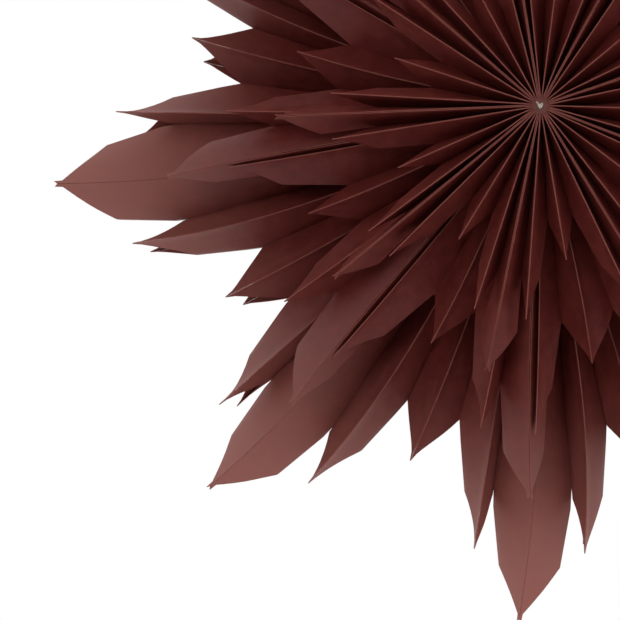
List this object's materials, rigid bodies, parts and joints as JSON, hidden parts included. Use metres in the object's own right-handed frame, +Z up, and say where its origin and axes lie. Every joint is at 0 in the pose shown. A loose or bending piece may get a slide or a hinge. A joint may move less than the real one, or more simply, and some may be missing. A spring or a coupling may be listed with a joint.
{
  "type": "paper star lantern",
  "caption": "Large folded paper star: pointed card leaves of three lengths, stepped in tiers and fanned out round a glued spine.",
  "frame": {"origin": "middle of the hub, halfway between the front and back edges of the spine", "axes": "+Z up towards the hang hole, the star faces -Y, +X is to the right as seen from the front"},
  "size_m": [0.5882, 0.212, 0.5914],
  "materials": {
    "leaf_card": "matte through-dyed oxblood card, 0.3 mm, with a faint satin sheen",
    "spine_glue": "dark dull glue",
    "thread": "off-white twisted cotton thread"
  },
  "bodies": {
    "root": {"first_medium_leaf_1": "leaf_card", "first_medium_leaf_2": "leaf_card", "first_medium_leaf_3": "leaf_card", "first_medium_leaf_4": "leaf_card", "first_medium_leaf_5": "leaf_card", "first_medium_leaf_6": "leaf_card", "first_medium_leaf_7": "leaf_card", "first_medium_leaf_8": "leaf_card", "first_medium_leaf_9": "leaf_card", "long_leaf_1": "leaf_card", "long_leaf_2": "leaf_card", "long_leaf_3": "leaf_card", "long_leaf_4": "leaf_card", "long_leaf_5": "leaf_card", "long_leaf_6": "leaf_card", "long_leaf_7": "leaf_card", "long_leaf_8": "leaf_card", "long_leaf_9": "leaf_card", "second_medium_leaf_1": "leaf_card", "second_medium_leaf_2": "leaf_card", "second_medium_leaf_3": "leaf_card", "second_medium_leaf_4": "leaf_card", "second_medium_leaf_5": "leaf_card", "second_medium_leaf_6": "leaf_card", "second_medium_leaf_7": "leaf_card", "second_medium_leaf_8": "leaf_card", "second_medium_leaf_9": "leaf_card", "short_leaf_1": "leaf_card", "short_leaf_2": "leaf_card", "short_leaf_3": "leaf_card", "short_leaf_4": "leaf_card", "short_leaf_5": "leaf_card", "short_leaf_6": "leaf_card", "short_leaf_7": "leaf_card", "short_leaf_8": "leaf_card", "short_leaf_9": "leaf_card", "spine_glue": "spine_glue", "binding_thread": "thread"}
  },
  "joints": []
}
